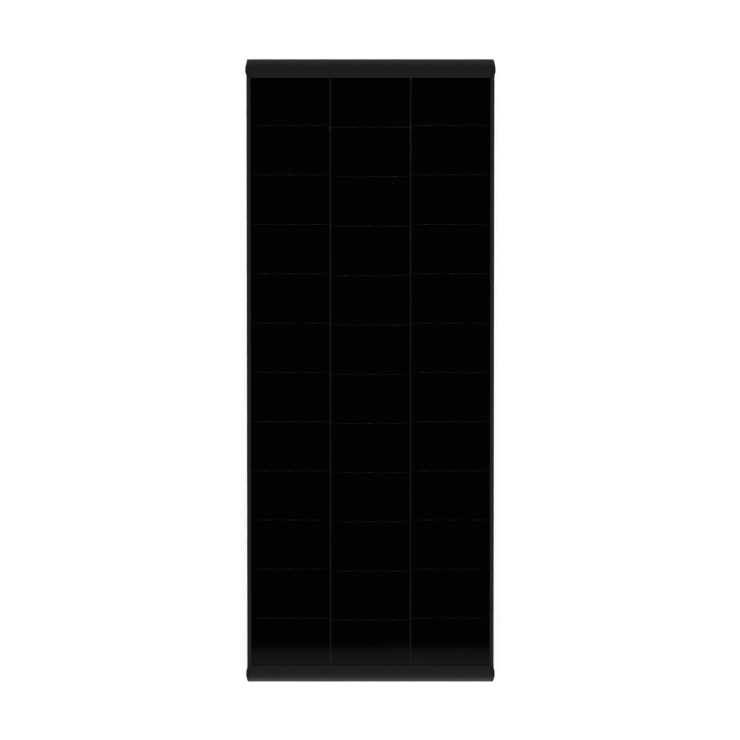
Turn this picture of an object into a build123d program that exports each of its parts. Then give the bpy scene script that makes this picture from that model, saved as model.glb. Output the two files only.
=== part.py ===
from build123d import *
from math import cos, radians, sin, sqrt
import os

os.makedirs("parts", exist_ok=True)

# Rigid solar panel, lying flat with the cells up.  X is the width, Y the length, Z up.
# The origin is on the mounting face, under the middle of the panel.  Millimetres.

# ---------------------------------------------------------------- overall size
panel_length = 1290.0  # from foot edge to foot edge of the two end profiles
panel_width = 513.0  # over the end caps
panel_height = 67.0  # from the mounting face to the top of the frame
cap_proud = 2.3  # how far an end cap stands out past the side rail
half_length = panel_length / 2
half_rail = panel_width / 2 - cap_proud

# ---------------------------------------------------------------- extrusions
wall = 1.8  # aluminium wall of the end profiles and rails
lip_thickness = 1.8
rail_lip = 8.2  # width of the rail lip seen from above
rail_height = 30.0
rail_chamber = 11.0  # width of the closed chamber under the ledge
rail_flange = 18.0  # width of the bottom flange from the outer face
spoiler_depth = 40.0  # foot edge to lip edge, seen from above
spoiler_flange = 12.0  # foot flange that runs on under the panel
spoiler_engagement = 12.0  # depth of the laminate groove
lip_start = 32.0  # where the aerofoil face turns into the flat lip
groove_bite = 0.5  # depth of the adhesive grooves under the foot
groove_width = 2.4
groove_pitch = 8.0
groove_count = 5
nose_foot = 5.0  # the aerofoil face stands upright up to here
nose_angle = 25.0  # degrees, where its lower arc meets its upper arc
rail_edge = 0.6  # rounding of the rail's upper edges
drain_pitch = 363.0  # between the drain slots under a rail
drain_length = 10.0
drain_width = 3.0

# ---------------------------------------------------------------- laminate
glass_thickness = 3.2
glass_corner = 1.5
glass_seam = 0.4
front_film = 0.45
rear_film = 0.8
backsheet_thickness = 0.35
gasket_wall = 0.7
gasket_setback = 0.6  # the gasket ends this far short of the lip edge
gasket_reach = 5.0  # how far it covers the laminate along the end profiles

lip_edge_x = half_rail - rail_lip
lip_edge_y = half_length - spoiler_depth
groove_x = half_rail - wall
groove_y = lip_edge_y + spoiler_engagement
glass_half_x = groove_x - gasket_wall
glass_half_y = groove_y - gasket_wall

lip_under = panel_height - lip_thickness
glass_top = lip_under - gasket_wall
glass_bottom = glass_top - glass_thickness
cell_bottom = glass_bottom - front_film
backsheet_top = cell_bottom - rear_film
backsheet_bottom = backsheet_top - backsheet_thickness
ledge_top = backsheet_bottom - gasket_wall
ledge_bottom = ledge_top - wall

# ---------------------------------------------------------------- cells
column_gap = 3.4
row_gap = 1.2
side_margin = 0.3  # from the outer cell edge to the rail lip
end_cover = 3.4  # the end lips cover the last cells by this much
row_count = 12
cell_thickness = 0.2
string_shift = 0.7  # the outer strings sit slightly nearer the rear end
middle_shift = -3.2  # and the middle one slightly nearer the front end
cell_width = (2 * (lip_edge_x - side_margin) - 2 * column_gap) / 3
cell_height = (2 * (lip_edge_y + end_cover) - (row_count - 1) * row_gap) / row_count
column_pitch = cell_width + column_gap
row_pitch = cell_height + row_gap

# ---------------------------------------------------------------- ribbons
tab_thickness = 0.2
tab_width = 14.0
tab_reach = 7.0
tab_pitch = 50.0
tab_count = 3
tab_corner = 1.0
tab_bottom = cell_bottom - tab_thickness
ribbon_width = 5.0
ribbon_thickness = 0.25
ribbon_bed = 0.15  # film left between a lead ribbon and the backsheet
ribbon_bottom = backsheet_top + ribbon_bed
ribbon_top = ribbon_bottom + ribbon_thickness
insulation_thickness = 0.1
insulation_width = 9.0
insulation_gap = 0.03  # film between a lead ribbon and its insulation
insulation_bottom = ribbon_top + insulation_gap
bus_half = 60.0  # half length of a bus ribbon behind one string
bus_inset = 4.0  # from the middle string's rear edge to the middle of a bus ribbon
bus_y = row_count / 2 * row_pitch - row_gap / 2 + middle_shift - bus_inset
lead_pitch = 30.0  # between the three leads inside the box
lead_x = 110.0  # where the long leads run
tail_drop = 5.5  # how far a ribbon tail hangs below the roof of the box
tail_side_room = 0.5  # between a tail and the sides of its slot
tail_face_room = 0.675  # between a tail and the faces of its slot

# ---------------------------------------------------------------- junction box
box_inset = 126.7  # from the rear lip edge to the middle of the box
box_y = lip_edge_y - box_inset
box_width = 110.0
box_length = 90.0
box_wall = 2.4
box_corner = 4.0
box_flange = 4.0
flange_thickness = 3.0
foot_thickness = 2.0
roof_thickness = 2.5
pad_thickness = 0.8
pad_inset = 2.0  # from the edge of the box foot to the edge of the pad
pad_window_side = 8.0  # opening in the pad beyond the outer tails
pad_window_width = 6.0
lid_thickness = 2.2
lid_seat = 0.1  # gap between the closed lid and the rim
lid_chamfer = 0.8
lid_panel_inset = 12.0  # from the lid's edge to its shallow middle panel
lid_panel_depth = 0.5
rib_thickness = 1.4
rib_height = 2.0
notch_reach = 2.5  # how far a lifting notch goes in from the lid's edge
notch_width = 12.0
notch_depth = 1.2
skirt_height = 3.2
skirt_wall = 1.6
skirt_clearance = 0.35
box_depth = 25.9  # from the lid's outer face to the box foot
seal_width = 1.8
seal_depth = 1.2
box_foot = backsheet_bottom - pad_thickness
lid_bottom = box_foot - box_depth
rim_bottom = lid_bottom + lid_thickness + lid_seat
rim_top = rim_bottom + flange_thickness
cavity_top = box_foot - roof_thickness
exit_shift = 25.0  # the ribbon tails enter this far behind the box's middle
exit_y = box_y + exit_shift
terminal_plate = (14.0, 17.0, 0.8)  # width, length and thickness of a terminal's foot
terminal_corner = 1.0
terminal_tab = (8.0, 5.0)  # width and height of its upright tab
terminal_screw_shift = 2.0  # from the middle of the foot to its screw
diode_radius = 2.7
diode_length = 9.0
diode_chamfer = 0.3
diode_gap = 0.8  # between a diode and the terminal above it
diode_inset = 3.0  # from the terminal's front edge to the middle of a diode
lead_radius = 0.6
lead_bend = 1.2
lead_inset = 3.5  # from the middle of a terminal to the foot of a diode lead
label_size = (100.0, 60.0)
label_corner = 3.0
label_thickness = 0.12
label_offset = 200.0  # from the middle of the box to the middle of the label

# ---------------------------------------------------------------- cable glands
gland_pitch = 50.0
gland_z = (rim_top + box_foot - foot_thickness) / 2
thread_radius = 6.0
thread_gap = 0.1
gland_flats = 15.0
locknut_flats = 17.0
gland_flange = 5.0
gland_thread_length = 10.0
gland_bore = 3.5
seal_socket = 4.5
seal_bore = 3.1  # radius of the cable hole in the rubber
seal_floor = 2.0  # from the flange to the seat of the rubber
seal_head = 1.0  # the rubber stands out of the thread by this much
locknut_thickness = 4.0
thread_end = 1.0  # thread past the locknut
nut_start = 6.5  # gap from the box wall to the cap nut
nut_length = 13.5
nut_end = 2.4
nut_taper = 30  # degrees
nut_hole = 3.7
ring_thickness = 0.8
ring_radius = 5.5

# ---------------------------------------------------------------- fasteners
thread_fit = 0.05  # radial room between a screw and its tapped hole
hole_clearance = 0.15  # radial room between a screw and a plain hole
head_round = 0.45  # rounding of a pan head, as a share of its height
tip_chamfer = 0.4  # chamfer of a screw's tip, as a share of its radius
recess_span = 1.1  # length of the cross recess, as a share of the head radius
recess_width = 0.22  # and its width
recess_floor = 0.4  # height of its floor, as a share of the head height
bracket_leg = 32.0
bracket_thickness = 2.5
bracket_height = 12.0
bracket_z = 48.0  # height of the bracket's middle
bracket_screw_radius = 2.0
bracket_screw_length = 7.0
bracket_screw_near = 12.0
bracket_screw_far = 25.0
bracket_head_radius = 3.8
bracket_head_height = 2.4
bracket_fillet = 3.0  # in the inner corner of the angle
terminal_screw_radius = 1.5
terminal_screw_length = 2.4
terminal_head_radius = 2.8
terminal_head_height = 1.8
pilot_room = 0.4  # left under the tip of a terminal screw
cap_depth = 4.2  # part of the cap that lies within the rail width
cap_lift = 0.4  # the caps stay clear of the roof
cap_full = 27.0  # where the cap stands out furthest
cap_flush = 35.0  # from here inwards it is level with the rail
cap_shoulder = 0.62  # share of the bulge that is reached half way to there
cap_seat = 1.7  # depth of the screw seats from the rail's outer face
cap_seat_room = 0.3  # radial room round a sunk screw head
cap_head_radius = 3.1
cap_head_height = 1.8
cap_screw_radius = 1.75
cap_screw_length = 16.0
plug_length = 8.0
plug_wall = 1.8
plug_clearance = 0.4
port_radius = 3.9
port_slit = 1.2
port_slit_past = 1.0  # the slit runs on past the port by this much
low_port = (5.8, 10.0)
high_port = (34.9, 53.6)
body_half = half_rail - cap_depth


def from_front(depth):
    """Y of a point that lies so far in from the front foot edge."""
    return depth - half_length


# =================================================================== laminate
with BuildPart() as front_glass:
    with BuildSketch(Plane.XY.offset(glass_bottom)):
        RectangleRounded(2 * glass_half_x, 2 * glass_half_y, glass_corner)
    extrude(amount=glass_thickness)
    chamfer(front_glass.faces().sort_by(Axis.Z)[-1].edges(), glass_seam)
front_glass.part.label = "front_glass"
export_step(front_glass.part, "parts/front_glass.step")


def cell_string(column_x, column_y):
    """Twelve square-cornered cells in one column, as separate solids."""
    with BuildPart() as string:
        with BuildSketch(Plane(origin=(column_x, column_y, cell_bottom))):
            with GridLocations(cell_width, row_pitch, 1, row_count):
                Rectangle(cell_width, cell_height)
        extrude(amount=cell_thickness)
    return string.part


cells_left = cell_string(-column_pitch, string_shift)
cells_left.label = "cells_string_left"
export_step(cells_left, "parts/cells_string_left.step")

cells_middle = cell_string(0, middle_shift)
cells_middle.label = "cells_string_middle"
export_step(cells_middle, "parts/cells_string_middle.step")

cells_right = cell_string(column_pitch, string_shift)
cells_right.label = "cells_string_right"
export_step(cells_right, "parts/cells_string_right.step")

with BuildPart() as encapsulant_front:
    with BuildSketch(Plane.XY.offset(cell_bottom)):
        RectangleRounded(2 * glass_half_x, 2 * glass_half_y, glass_corner)
    extrude(amount=front_film)
    add([cells_left, cells_middle, cells_right], mode=Mode.SUBTRACT)
encapsulant_front.part.label = "encapsulant_front"
export_step(encapsulant_front.part, "parts/encapsulant_front.step")


def tab_string(column_x, column_y):
    """The soldered tabs that bridge the eleven gaps of one string."""
    with BuildPart() as tabs:
        with BuildSketch(Plane(origin=(column_x, column_y, tab_bottom))):
            with GridLocations(tab_pitch, row_pitch, tab_count, row_count - 1):
                RectangleRounded(tab_width, tab_reach, tab_corner)
        extrude(amount=tab_thickness)
    return tabs.part


tabs_left = tab_string(-column_pitch, string_shift)
tabs_left.label = "interconnect_tabs_left"
export_step(tabs_left, "parts/interconnect_tabs_left.step")

tabs_middle = tab_string(0, middle_shift)
tabs_middle.label = "interconnect_tabs_middle"
export_step(tabs_middle, "parts/interconnect_tabs_middle.step")

tabs_right = tab_string(column_pitch, string_shift)
tabs_right.label = "interconnect_tabs_right"
export_step(tabs_right, "parts/interconnect_tabs_right.step")

# The left and middle strings are joined at the front end by one plain ribbon.
with BuildPart() as cross_ribbon:
    with BuildSketch(Plane(origin=(-column_pitch / 2, -bus_y + middle_shift, tab_bottom))):
        Rectangle(column_pitch + 2 * bus_half, ribbon_width)
    extrude(amount=tab_thickness)
cross_ribbon.part.label = "cross_ribbon"
export_step(cross_ribbon.part, "parts/cross_ribbon.step")


def lead_ribbon(bus_x, bus_length, bus_line, lead_line, tail_x):
    """A bus behind a string, its lead to the box, and the tail that drops into it."""
    run_centre = (bus_line + exit_y) / 2
    run_length = abs(bus_line - exit_y) + ribbon_width
    side_centre = (lead_line + tail_x) / 2
    side_length = abs(lead_line - tail_x) + ribbon_width
    tail_length = ribbon_top - (cavity_top - tail_drop)
    with BuildPart() as lead:
        with BuildSketch(Plane(origin=(bus_x, bus_line, tab_bottom))):
            Rectangle(bus_length, ribbon_width)
        extrude(amount=tab_thickness)
        with BuildSketch(Plane(origin=(lead_line, bus_line, ribbon_bottom))):
            Rectangle(ribbon_width, ribbon_width)
        extrude(amount=cell_bottom - ribbon_bottom)
        with BuildSketch(Plane(origin=(lead_line, run_centre, ribbon_bottom))):
            Rectangle(ribbon_width, run_length)
        extrude(amount=ribbon_thickness)
        with BuildSketch(Plane(origin=(side_centre, exit_y, ribbon_bottom))):
            Rectangle(side_length, ribbon_width)
        extrude(amount=ribbon_thickness)
        with BuildSketch(Plane(origin=(tail_x, exit_y, ribbon_top))):
            Rectangle(ribbon_width, ribbon_thickness)
        extrude(amount=-tail_length)
    return lead.part


negative_ribbon = lead_ribbon(-column_pitch, 2 * bus_half, bus_y, -lead_x, -lead_pitch)
negative_ribbon.label = "lead_ribbon_negative"
export_step(negative_ribbon, "parts/lead_ribbon_negative.step")

tap_ribbon = lead_ribbon(column_pitch / 2, column_pitch + 2 * bus_half, bus_y, 0, 0)
tap_ribbon.label = "lead_ribbon_tap"
export_step(tap_ribbon, "parts/lead_ribbon_tap.step")

positive_ribbon = lead_ribbon(column_pitch, 2 * bus_half, -bus_y + middle_shift, lead_x, lead_pitch)
positive_ribbon.label = "lead_ribbon_positive"
export_step(positive_ribbon, "parts/lead_ribbon_positive.step")

# Film strips keep the leads off the backs of the cells.
strip_start = ribbon_width
back_strip = bus_y - strip_start - (exit_y - ribbon_width)
front_strip = exit_y + ribbon_width + bus_y - middle_shift - strip_start
with BuildPart() as ribbon_insulation:
    with BuildSketch(Plane.XY.offset(insulation_bottom)):
        with Locations((-lead_x, bus_y - strip_start - back_strip / 2)):
            Rectangle(insulation_width, back_strip)
        with Locations((0, bus_y - strip_start - back_strip / 2)):
            Rectangle(insulation_width, back_strip)
        with Locations((lead_x, exit_y + ribbon_width - front_strip / 2)):
            Rectangle(insulation_width, front_strip)
        with Locations((-(lead_x + lead_pitch) / 2, exit_y), ((lead_x + lead_pitch) / 2, exit_y)):
            Rectangle(lead_x - lead_pitch + ribbon_width, insulation_width)
    extrude(amount=insulation_thickness)
ribbon_insulation.part.label = "ribbon_insulation"
export_step(ribbon_insulation.part, "parts/ribbon_insulation.step")

tabs_and_ribbons = [
    tabs_left,
    tabs_middle,
    tabs_right,
    cross_ribbon.part,
    negative_ribbon,
    tap_ribbon,
    positive_ribbon,
    ribbon_insulation.part,
]
with BuildPart() as encapsulant_rear:
    with BuildSketch(Plane.XY.offset(backsheet_top)):
        RectangleRounded(2 * glass_half_x, 2 * glass_half_y, glass_corner)
    extrude(amount=rear_film)
    add(tabs_and_ribbons, mode=Mode.SUBTRACT)
encapsulant_rear.part.label = "encapsulant_rear"
export_step(encapsulant_rear.part, "parts/encapsulant_rear.step")

tail_slot = (ribbon_width + 2 * tail_side_room, ribbon_thickness + 2 * tail_face_room)
with BuildPart() as backsheet:
    with BuildSketch(Plane.XY.offset(backsheet_bottom)):
        RectangleRounded(2 * glass_half_x, 2 * glass_half_y, glass_corner)
        with Locations((0, exit_y)):
            with GridLocations(lead_pitch, 1, 3, 1):
                Rectangle(*tail_slot, mode=Mode.SUBTRACT)
    extrude(amount=backsheet_thickness)
backsheet.part.label = "backsheet"
export_step(backsheet.part, "parts/backsheet.step")

with BuildPart() as rating_label:
    with BuildSketch(Plane(origin=(0, box_y - label_offset, backsheet_bottom))):
        RectangleRounded(*label_size, label_corner)
    extrude(amount=-label_thickness)
rating_label.part.label = "rating_label"
export_step(rating_label.part, "parts/rating_label.step")

# One U-shaped rubber ring wraps the edge of the laminate.
with BuildPart() as edge_gasket:
    with BuildSketch(Plane.XY.offset(ledge_top)):
        RectangleRounded(2 * groove_x, 2 * groove_y, glass_corner + gasket_wall)
    extrude(amount=lip_under - ledge_top)
    with BuildSketch(Plane.XY.offset(backsheet_bottom)):
        RectangleRounded(2 * glass_half_x, 2 * glass_half_y, glass_corner)
    extrude(amount=glass_top - backsheet_bottom, mode=Mode.SUBTRACT)
    with BuildSketch(Plane.XY.offset(ledge_top)):
        Rectangle(2 * (lip_edge_x + gasket_setback), 2 * (groove_y - gasket_reach))
    extrude(amount=lip_under - ledge_top, mode=Mode.SUBTRACT)
edge_gasket.part.label = "edge_gasket"
export_step(edge_gasket.part, "parts/edge_gasket.step")

# =================================================================== side rails
rail_bottom = panel_height - rail_height
chamber_x = half_rail - rail_chamber
screw_steps = (bracket_screw_near, bracket_screw_far)
rail_screw_y = [side * (lip_edge_y - step) for side in (-1, 1) for step in screw_steps]

with BuildPart() as side_rail_right:
    with BuildSketch(Plane.XZ) as rail_section:
        with BuildLine():
            Polyline(
                (half_rail, rail_bottom),
                (half_rail, panel_height),
                (lip_edge_x, panel_height),
                (lip_edge_x, lip_under),
                (groove_x, lip_under),
                (groove_x, ledge_top),
                (chamber_x, ledge_top),
                (chamber_x, rail_bottom + wall),
                (half_rail - rail_flange, rail_bottom + wall),
                (half_rail - rail_flange, rail_bottom),
                close=True,
            )
        make_face()
        fillet(rail_section.vertices().group_by(Axis.Y)[-1], rail_edge)
        with BuildLine():
            Polyline(
                (groove_x, rail_bottom + wall),
                (groove_x, ledge_bottom),
                (chamber_x + wall, ledge_bottom),
                (chamber_x + wall, rail_bottom + wall),
                close=True,
            )
        make_face(mode=Mode.SUBTRACT)
    extrude(amount=lip_edge_y, both=True)
    # drain slots in the floor of the chamber
    with BuildSketch(Plane(origin=((groove_x + chamber_x + wall) / 2, 0, rail_bottom))):
        with GridLocations(1, drain_pitch, 1, 3):
            SlotOverall(drain_length, drain_width, rotation=90)
    extrude(amount=wall, mode=Mode.SUBTRACT)
    # tapped holes for the bracket screws
    with BuildSketch(Plane.YZ.offset(chamber_x)):
        with Locations(*[(y, bracket_z) for y in rail_screw_y]):
            Circle(bracket_screw_radius + thread_fit)
    extrude(amount=wall, mode=Mode.SUBTRACT)
side_rail_right.part.label = "side_rail_right"
export_step(side_rail_right.part, "parts/side_rail_right.step")

with BuildPart() as side_rail_left:
    mirror(side_rail_right.part, about=Plane.YZ)
side_rail_left.part.label = "side_rail_left"
export_step(side_rail_left.part, "parts/side_rail_left.step")

# =================================================================== spoilers
# The aerofoil face is two tangent arcs: upright at the foot, level where the lip starts.
nose_turn = radians(nose_angle)
nose_sin = sin(nose_turn)
nose_cos = cos(nose_turn)
nose_rise = panel_height - nose_foot
nose_mix = (1 - nose_sin) / nose_cos
nose_radius = (nose_rise - lip_start * nose_mix) / (nose_sin - (1 - nose_cos) * nose_mix)
crown_radius = (lip_start - nose_radius * (1 - nose_cos)) / nose_cos
nose_start = (from_front(0), nose_foot)
nose_joint = (from_front(nose_radius * (1 - nose_cos)), nose_foot + nose_radius * nose_sin)
nose_end = (from_front(lip_start), panel_height)
spoiler_screw_x = [side * (chamber_x - step) for side in (-1, 1) for step in screw_steps]
slit_length = port_radius + port_slit_past


def profile_outline():
    """Outer outline of the end profile, from the foot over the nose to the lip edge."""
    with BuildSketch() as outline:
        with BuildLine():
            TangentArc(nose_start, nose_joint, tangent=(0, 1))
            TangentArc(nose_joint, nose_end, tangent=(nose_sin, nose_cos))
            Polyline(
                nose_end,
                (from_front(spoiler_depth), panel_height),
                (from_front(spoiler_depth), 0),
                (from_front(0), 0),
                nose_start,
            )
        make_face()
    return outline.sketch_local


def hollow_outline(inset):
    """The hollow under the laminate ledge, this far inside the outer faces."""
    back = spoiler_depth - spoiler_engagement - inset
    top = panel_height - crown_radius + sqrt((crown_radius - inset) ** 2 - (lip_start - back) ** 2)
    joint = (nose_joint[0] + inset * nose_cos, nose_joint[1] - inset * nose_sin)
    with BuildSketch() as outline:
        with BuildLine():
            TangentArc((from_front(inset), nose_foot), joint, tangent=(0, 1))
            TangentArc(joint, (from_front(back), top), tangent=(nose_sin, nose_cos))
            Polyline(
                (from_front(back), top),
                (from_front(back), ledge_top - inset),
                (from_front(spoiler_depth - inset), ledge_top - inset),
                (from_front(spoiler_depth - inset), inset),
                (from_front(inset), inset),
                (from_front(inset), nose_foot),
            )
        make_face()
    return outline.sketch_local


with BuildPart() as spoiler_front:
    with BuildSketch(Plane.YZ.offset(-body_half)):
        add(profile_outline())
        add(hollow_outline(wall), mode=Mode.SUBTRACT)
        # groove for the laminate
        with Locations((from_front(spoiler_depth), ledge_top)):
            Rectangle(
                spoiler_engagement, lip_under - ledge_top, align=(Align.MAX, Align.MIN), mode=Mode.SUBTRACT
            )
        # foot flange under the panel
        with Locations((from_front(spoiler_depth), 0)):
            Rectangle(spoiler_flange, wall, align=(Align.MIN, Align.MIN))
        # screw ports for the end caps
        with Locations((from_front(low_port[0]), low_port[1]), (from_front(high_port[0]), high_port[1])):
            Circle(port_radius)
            Circle(cap_screw_radius + thread_fit, mode=Mode.SUBTRACT)
        with Locations((from_front(low_port[0]), low_port[1])):
            Rectangle(
                slit_length, port_slit, align=(Align.MIN, Align.CENTER), mode=Mode.SUBTRACT
            )
        with Locations((from_front(high_port[0]), high_port[1])):
            Rectangle(
                slit_length, port_slit, align=(Align.MAX, Align.CENTER), mode=Mode.SUBTRACT
            )
        # adhesive grooves under the foot
        with Locations(*[(from_front(groove_pitch * (n + 1)), 0) for n in range(groove_count)]):
            Rectangle(groove_width, 2 * groove_bite, mode=Mode.SUBTRACT)
    extrude(amount=2 * body_half)
    with BuildSketch(Plane.XZ.offset(lip_edge_y)):
        with Locations(*[(x, bracket_z) for x in spoiler_screw_x]):
            Circle(bracket_screw_radius + thread_fit)
    extrude(amount=wall, mode=Mode.SUBTRACT)
spoiler_front.part.label = "spoiler_front"
export_step(spoiler_front.part, "parts/spoiler_front.step")

with BuildPart() as spoiler_rear:
    mirror(spoiler_front.part, about=Plane.XZ)
spoiler_rear.part.label = "spoiler_rear"
export_step(spoiler_rear.part, "parts/spoiler_rear.step")

# =================================================================== end caps
seat_x = half_rail - cap_seat

with BuildPart() as cap_front_right:
    # side shape of the profile
    with BuildSketch(Plane.YZ.offset(body_half)):
        add(profile_outline())
        with Locations((from_front(0), 0)):
            Rectangle(spoiler_depth, cap_lift, align=(Align.MIN, Align.MIN), mode=Mode.SUBTRACT)
    extrude(amount=cap_depth + cap_proud)
    # bulge seen from above
    with BuildSketch(Plane.XY):
        with BuildLine():
            Spline(
                (half_rail, from_front(0)),
                (half_rail + cap_proud * cap_shoulder, from_front(cap_full / 2)),
                (half_rail + cap_proud, from_front(cap_full)),
                (half_rail, from_front(cap_flush)),
            )
            Polyline(
                (half_rail, from_front(cap_flush)),
                (half_rail, from_front(spoiler_depth)),
                (body_half, from_front(spoiler_depth)),
                (body_half, from_front(0)),
                (half_rail, from_front(0)),
            )
        make_face()
    extrude(amount=panel_height, mode=Mode.INTERSECT)
    # pocket for the corner of the gasket
    with BuildSketch(Plane(origin=(body_half, -lip_edge_y, ledge_top))):
        Rectangle(groove_x - body_half, spoiler_engagement, align=(Align.MIN, Align.MAX))
    extrude(amount=lip_under - ledge_top, mode=Mode.SUBTRACT)
    # plug that fits in the hollow of the profile
    with BuildSketch(Plane.YZ.offset(body_half)):
        add(hollow_outline(wall + plug_clearance))
        add(hollow_outline(wall + plug_clearance + plug_wall), mode=Mode.SUBTRACT)
        with Locations((from_front(low_port[0]), low_port[1]), (from_front(high_port[0]), high_port[1])):
            Circle(port_radius + plug_clearance, mode=Mode.SUBTRACT)
    extrude(amount=-plug_length)
    # screw holes with sunk seats
    with BuildSketch(Plane.YZ.offset(body_half)):
        with Locations((from_front(low_port[0]), low_port[1]), (from_front(high_port[0]), high_port[1])):
            Circle(cap_screw_radius + hole_clearance)
    extrude(amount=cap_depth + cap_proud, mode=Mode.SUBTRACT)
    with BuildSketch(Plane.YZ.offset(seat_x)):
        with Locations((from_front(low_port[0]), low_port[1]), (from_front(high_port[0]), high_port[1])):
            Circle(cap_head_radius + cap_seat_room)
    extrude(amount=cap_depth + cap_proud, mode=Mode.SUBTRACT)
cap_front_right.part.label = "end_cap_front_right"
export_step(cap_front_right.part, "parts/end_cap_front_right.step")

with BuildPart() as cap_front_left:
    mirror(cap_front_right.part, about=Plane.YZ)
cap_front_left.part.label = "end_cap_front_left"
export_step(cap_front_left.part, "parts/end_cap_front_left.step")

with BuildPart() as cap_rear_right:
    mirror(cap_front_right.part, about=Plane.XZ)
cap_rear_right.part.label = "end_cap_rear_right"
export_step(cap_rear_right.part, "parts/end_cap_rear_right.step")

with BuildPart() as cap_rear_left:
    mirror(cap_front_left.part, about=Plane.XZ)
cap_rear_left.part.label = "end_cap_rear_left"
export_step(cap_rear_left.part, "parts/end_cap_rear_left.step")


def pan_screw(shank_radius, shank_length, pan_radius, pan_height):
    """Cross-recessed pan-head screw; its head stands on z = 0 and the shank hangs down."""
    span = pan_radius * recess_span
    slot = pan_radius * recess_width
    with BuildPart() as screw:
        with BuildSketch():
            Circle(pan_radius)
        extrude(amount=pan_height)
        fillet(screw.faces().sort_by(Axis.Z)[-1].edges(), pan_height * head_round)
        with BuildSketch():
            Circle(shank_radius)
        extrude(amount=-shank_length)
        chamfer(screw.faces().sort_by(Axis.Z)[0].edges(), shank_radius * tip_chamfer)
        with BuildSketch(Plane.XY.offset(pan_height * recess_floor)):
            Rectangle(span, slot)
            Rectangle(slot, span)
        extrude(amount=pan_height, mode=Mode.SUBTRACT)
    return screw.part


cap_screw = pan_screw(cap_screw_radius, cap_screw_length, cap_head_radius, cap_head_height)
cap_screw_planes = [
    Plane(origin=(side * seat_x, end * from_front(port[0]), port[1]), z_dir=(side, 0, 0))
    for side in (-1, 1)
    for end in (-1, 1)
    for port in (low_port, high_port)
]
with BuildPart() as end_cap_screws:
    with Locations(*cap_screw_planes):
        add(cap_screw)
end_cap_screws.part.label = "end_cap_screws"
export_step(end_cap_screws.part, "parts/end_cap_screws.step")

# =================================================================== brackets
with BuildPart() as bracket_rear_right:
    with BuildSketch(Plane.XY.offset(bracket_z - bracket_height / 2)) as angle:
        with BuildLine():
            Polyline(
                (chamber_x, lip_edge_y),
                (chamber_x - bracket_leg, lip_edge_y),
                (chamber_x - bracket_leg, lip_edge_y - bracket_thickness),
                (chamber_x - bracket_thickness, lip_edge_y - bracket_thickness),
                (chamber_x - bracket_thickness, lip_edge_y - bracket_leg),
                (chamber_x, lip_edge_y - bracket_leg),
                close=True,
            )
        make_face()
    extrude(amount=bracket_height)
    inner_corner = (chamber_x - bracket_thickness, lip_edge_y - bracket_thickness, bracket_z)
    fillet(bracket_rear_right.edges().filter_by(Axis.Z).sort_by_distance(inner_corner)[0], bracket_fillet)
    with BuildSketch(Plane.YZ.offset(chamber_x)):
        with Locations(*[(lip_edge_y - step, bracket_z) for step in screw_steps]):
            Circle(bracket_screw_radius + hole_clearance)
    extrude(amount=-bracket_thickness, mode=Mode.SUBTRACT)
    with BuildSketch(Plane.XZ.offset(-lip_edge_y)):
        with Locations(*[(chamber_x - step, bracket_z) for step in screw_steps]):
            Circle(bracket_screw_radius + hole_clearance)
    extrude(amount=bracket_thickness, mode=Mode.SUBTRACT)
bracket_rear_right.part.label = "corner_bracket_rear_right"
export_step(bracket_rear_right.part, "parts/corner_bracket_rear_right.step")

with BuildPart() as bracket_rear_left:
    mirror(bracket_rear_right.part, about=Plane.YZ)
bracket_rear_left.part.label = "corner_bracket_rear_left"
export_step(bracket_rear_left.part, "parts/corner_bracket_rear_left.step")

with BuildPart() as bracket_front_right:
    mirror(bracket_rear_right.part, about=Plane.XZ)
bracket_front_right.part.label = "corner_bracket_front_right"
export_step(bracket_front_right.part, "parts/corner_bracket_front_right.step")

with BuildPart() as bracket_front_left:
    mirror(bracket_front_right.part, about=Plane.YZ)
bracket_front_left.part.label = "corner_bracket_front_left"
export_step(bracket_front_left.part, "parts/corner_bracket_front_left.step")

bracket_screw = pan_screw(
    bracket_screw_radius, bracket_screw_length, bracket_head_radius, bracket_head_height
)
rail_planes = [
    Plane(origin=(side * (chamber_x - bracket_thickness), y, bracket_z), z_dir=(-side, 0, 0))
    for side in (-1, 1)
    for y in rail_screw_y
]
spoiler_planes = [
    Plane(origin=(x, end * (lip_edge_y - bracket_thickness), bracket_z), z_dir=(0, -end, 0))
    for end in (-1, 1)
    for x in spoiler_screw_x
]
with BuildPart() as bracket_screws:
    with Locations(*rail_planes, *spoiler_planes):
        add(bracket_screw)
bracket_screws.part.label = "bracket_screws"
export_step(bracket_screws.part, "parts/bracket_screws.step")

# =================================================================== junction box
foot_width = box_width + 2 * box_flange
foot_length = box_length + 2 * box_flange
foot_corner = box_corner + box_flange / 2
cavity_width = box_width - 2 * box_wall
cavity_length = box_length - 2 * box_wall
cavity_corner = box_corner - box_wall / 2
seal_centre = box_flange / 2
wall_y = box_y - box_length / 2
gland_xs = (-gland_pitch / 2, gland_pitch / 2)
plate_width, plate_length, plate_thickness = terminal_plate
tab_side, tab_height = terminal_tab
terminal_y = exit_y - ribbon_thickness / 2 - plate_thickness - plate_length / 2
terminal_screw_y = terminal_y - terminal_screw_shift
pilot_depth = terminal_screw_length - plate_thickness + pilot_room


def box_plane(z):
    """Level plane at height z with its origin at the middle of the box."""
    return Plane(origin=(0, box_y, z))


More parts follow.
